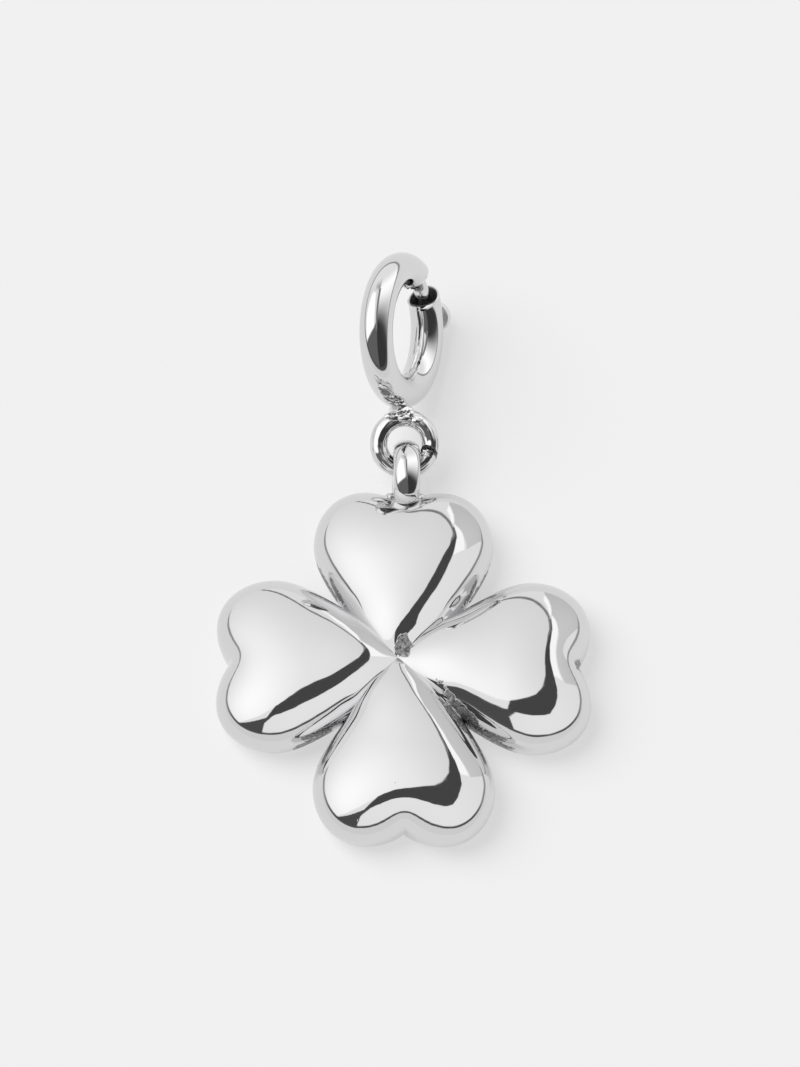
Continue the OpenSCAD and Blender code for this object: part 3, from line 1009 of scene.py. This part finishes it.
# The flaw's pits are rougher, and its colour is darkened there as painted shade in the hollow.
pitted_and_shaded = ring.data.attributes.new("pitted_and_shaded", "FLOAT", "POINT")
on_outside = [flaw_share(turn % 360, psi) for turn in row_turn for psi in columns]
pitted_and_shaded.data.foreach_set("value", on_outside + [0.0] * inner_first)
ring.data.materials.append(
    polished_steel("tube_polish", steel_tint, shine=(0.03, 0.05), wave=7e-6, skin="pitted_and_shaded")
)
# The bore is rough, and its colour is darkened to 0.3 as painted shade inside the tube.
ring.data.materials.append(polished_steel("rough_bore_painted_shade", 0.3, shine=(0.5, 0.6), wave=2e-5))
for face in ring.data.polygons:
    face.material_index = int(min(face.vertices) >= inner_first)
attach(ring, "charm")
clasp_tent.inside.objects.link(ring)

heap = solder_lump("clasp_solder", [
    (in_clasp((0.0, -6.2, 0.0)), (0.8, 0.6, 0.65)),
    ((0.1, 20.5, 4.2), (0.72, 0.5, 0.62)),
    ((-0.85, 19.95, 4.3), (0.8, 0.42, 0.45)),
    ((0.95, 19.75, 4.25), (0.62, 0.5, 0.45)),
    ((0.05, 19.8, 4.45), (0.62, 0.36, 0.4)),
    ((-0.3, 20.3, 4.65), (0.36, 0.3, 0.26)),
    ((0.45, 20.15, 4.6), (0.34, 0.34, 0.26)),
    ((-0.6, 20.85, 4.35), (0.5, 0.26, 0.34)),
], roughness=0.05, seed=11.0)
heap.data.materials.append(polished_steel("clasp_solder", 0.82, shine=(0.16, 0.26), wave=1.5e-5))
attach(heap, "charm")
clasp_tent.inside.objects.link(heap)

# Bolt and thumb knob
# A curved steel pin closes the gap, pushed by a spring inside the tube. Its turned knob stands
# through the slot, with a lighter tint as painted light, and file marks ring the side of the pin
# that rubs in the mouth, where its colour is darkened as a painted dark reflection.
bolt_across, bolt_nose_at = 1.2, 71
guide_radius, guide_half, stem_radius = bore_radius - 0.15, 8, 0.42
knob_at, knob_across, knob_height, knob_foot, knob_dome = 14, 2.4, 1.15, 0.12, 1.7
knob_fillet, knob_bevel = 0.06, 0.1
dimple_half, dimple = 0.34, ((0.28, 0.08), (0.22, 0.2), (0.0, 0.22))
file_depth, file_pitch, file_side, file_turn = 0.045, 2.2, 185, 59
pin_sides, pin_steps, guide_steps, knob_sides = 40, 260, 24, 48


def rod(radius, start, end, blunt, steps, marks=0.0):
    """A round pin bent about Z, with a flat start and a round nose or a flat end."""
    ease = 0.05
    eased = degrees(ease / ring_radius)
    # Each row is how far round the ring it lies, and half the pin there
    rows = [(start, 0.0), (start, radius - ease), (start + eased, radius)]
    rows += [(turn, radius) for turn in np.linspace(start, end, steps)[1:-1]]
    if blunt:
        rows += [(end - eased, radius), (end, radius - ease), (end, 0.0)]
    else:
        rows += [(end + degrees(radius * sin(a) / ring_radius), radius * cos(a))
                 for a in np.linspace(0, pi / 2, 16)]
    points = []
    for turn, half in rows:
        for j in range(pin_sides):
            psi = 2 * pi * j / pin_sides
            cuts = sin(2 * pi * turn / file_pitch) - 1
            worn = marks * max(0, cos(psi - radians(file_side))) ** 2 * cuts
            worn *= exp(-((turn - file_turn) / 8) ** 4)
            here = half + (worn if half == radius else 0)
            across = ring_radius + here * cos(psi)
            points.append((across * cos(radians(turn)), across * sin(radians(turn)), here * sin(psi)))
    return points, wall_faces(len(rows), pin_sides)


pin_points, pin_faces = rod(
    bolt_across / 2, knob_at + guide_half, bolt_nose_at, False, pin_steps, file_depth,
)
guide_points, guide_faces = rod(
    guide_radius, knob_at - guide_half, knob_at + guide_half, True, guide_steps,
)

# The knob's outline from its root in the guide, out along the stem and over the head to the dimple
knob_half = knob_across / 2
head_from = ring_radius + tube_radius + knob_foot
head_to = head_from + knob_height
dome_from = head_to - knob_dome + sqrt(knob_dome ** 2 - knob_half ** 2)
outline = [
    (0, ring_radius), (stem_radius, ring_radius), (stem_radius, head_from - knob_fillet),
    (stem_radius + knob_fillet, head_from), (knob_half - knob_bevel, head_from),
    (knob_half - knob_bevel * 0.3, head_from + knob_bevel * 0.3), (knob_half, head_from + knob_bevel),
]
outline += [(knob_half, height) for height in np.linspace(head_from + 2 * knob_bevel, dome_from - 0.08, 5)]
outline += [(half, head_to - knob_dome + sqrt(knob_dome ** 2 - half * half))
            for half in np.linspace(knob_half - 0.02, dimple_half, 16)]
outline += [(half, head_to - depth) for half, depth in dimple]
knob_points = []
for radius, height in outline:
    for i in range(knob_sides):
        a = 2 * pi * i / knob_sides
        knob_points.append((height, radius * cos(a), radius * sin(a)))
knob_points = np.array(knob_points) @ turned(z=knob_at).T
knob_faces = wall_faces(len(outline), knob_sides)

bolt_points, bolt_faces = [], []
for some_points, some_faces in (
    (pin_points, pin_faces), (guide_points, guide_faces), (knob_points, knob_faces),
):
    first = len(bolt_points)
    bolt_points += [tuple(p) for p in some_points]
    bolt_faces += [tuple(first + v for v in f) for f in some_faces]
bolt = make_piece("bolt_and_knob", in_clasp(bolt_points), bolt_faces)
# The filed side is marked as skin: file grooves and rough grain, with the colour darkened as a painted dark
# reflection.
filed_and_dark_reflection = bolt.data.attributes.new("filed_and_dark_reflection", "FLOAT", "POINT")
filed_reflection_share = [0.0] * len(bolt_points)
for i, (x, y, _) in enumerate(pin_points):
    turn, psi = degrees(atan2(y, x)), 2 * pi * (i % pin_sides) / pin_sides
    filed_reflection_share[i] = max(0, cos(psi - radians(file_side))) ** 3 * exp(-((turn - file_turn) / 9) ** 4)
filed_and_dark_reflection.data.foreach_set("value", filed_reflection_share)
bolt.data.materials.append(
    polished_steel("bolt_polish", steel_tint, shine=(0.05, 0.1), wave=8e-6, skin="filed_and_dark_reflection")
)
# The knob's tint is raised to 0.86 against the steel's 0.74 as painted light, since it faces the dark east
# of its tent; its matt gloss is the turned finish.
bolt.data.materials.append(polished_steel("turned_knob_painted_light", 0.86, shine=(0.5, 0.6), wave=1e-5))
knob_first = len(pin_points) + len(guide_points)
for face in bolt.data.polygons:
    face.material_index = int(min(face.vertices) >= knob_first)
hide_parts("clasp_bolt")
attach(bolt, "bolt")
clasp_tent.inside.objects.link(bolt)
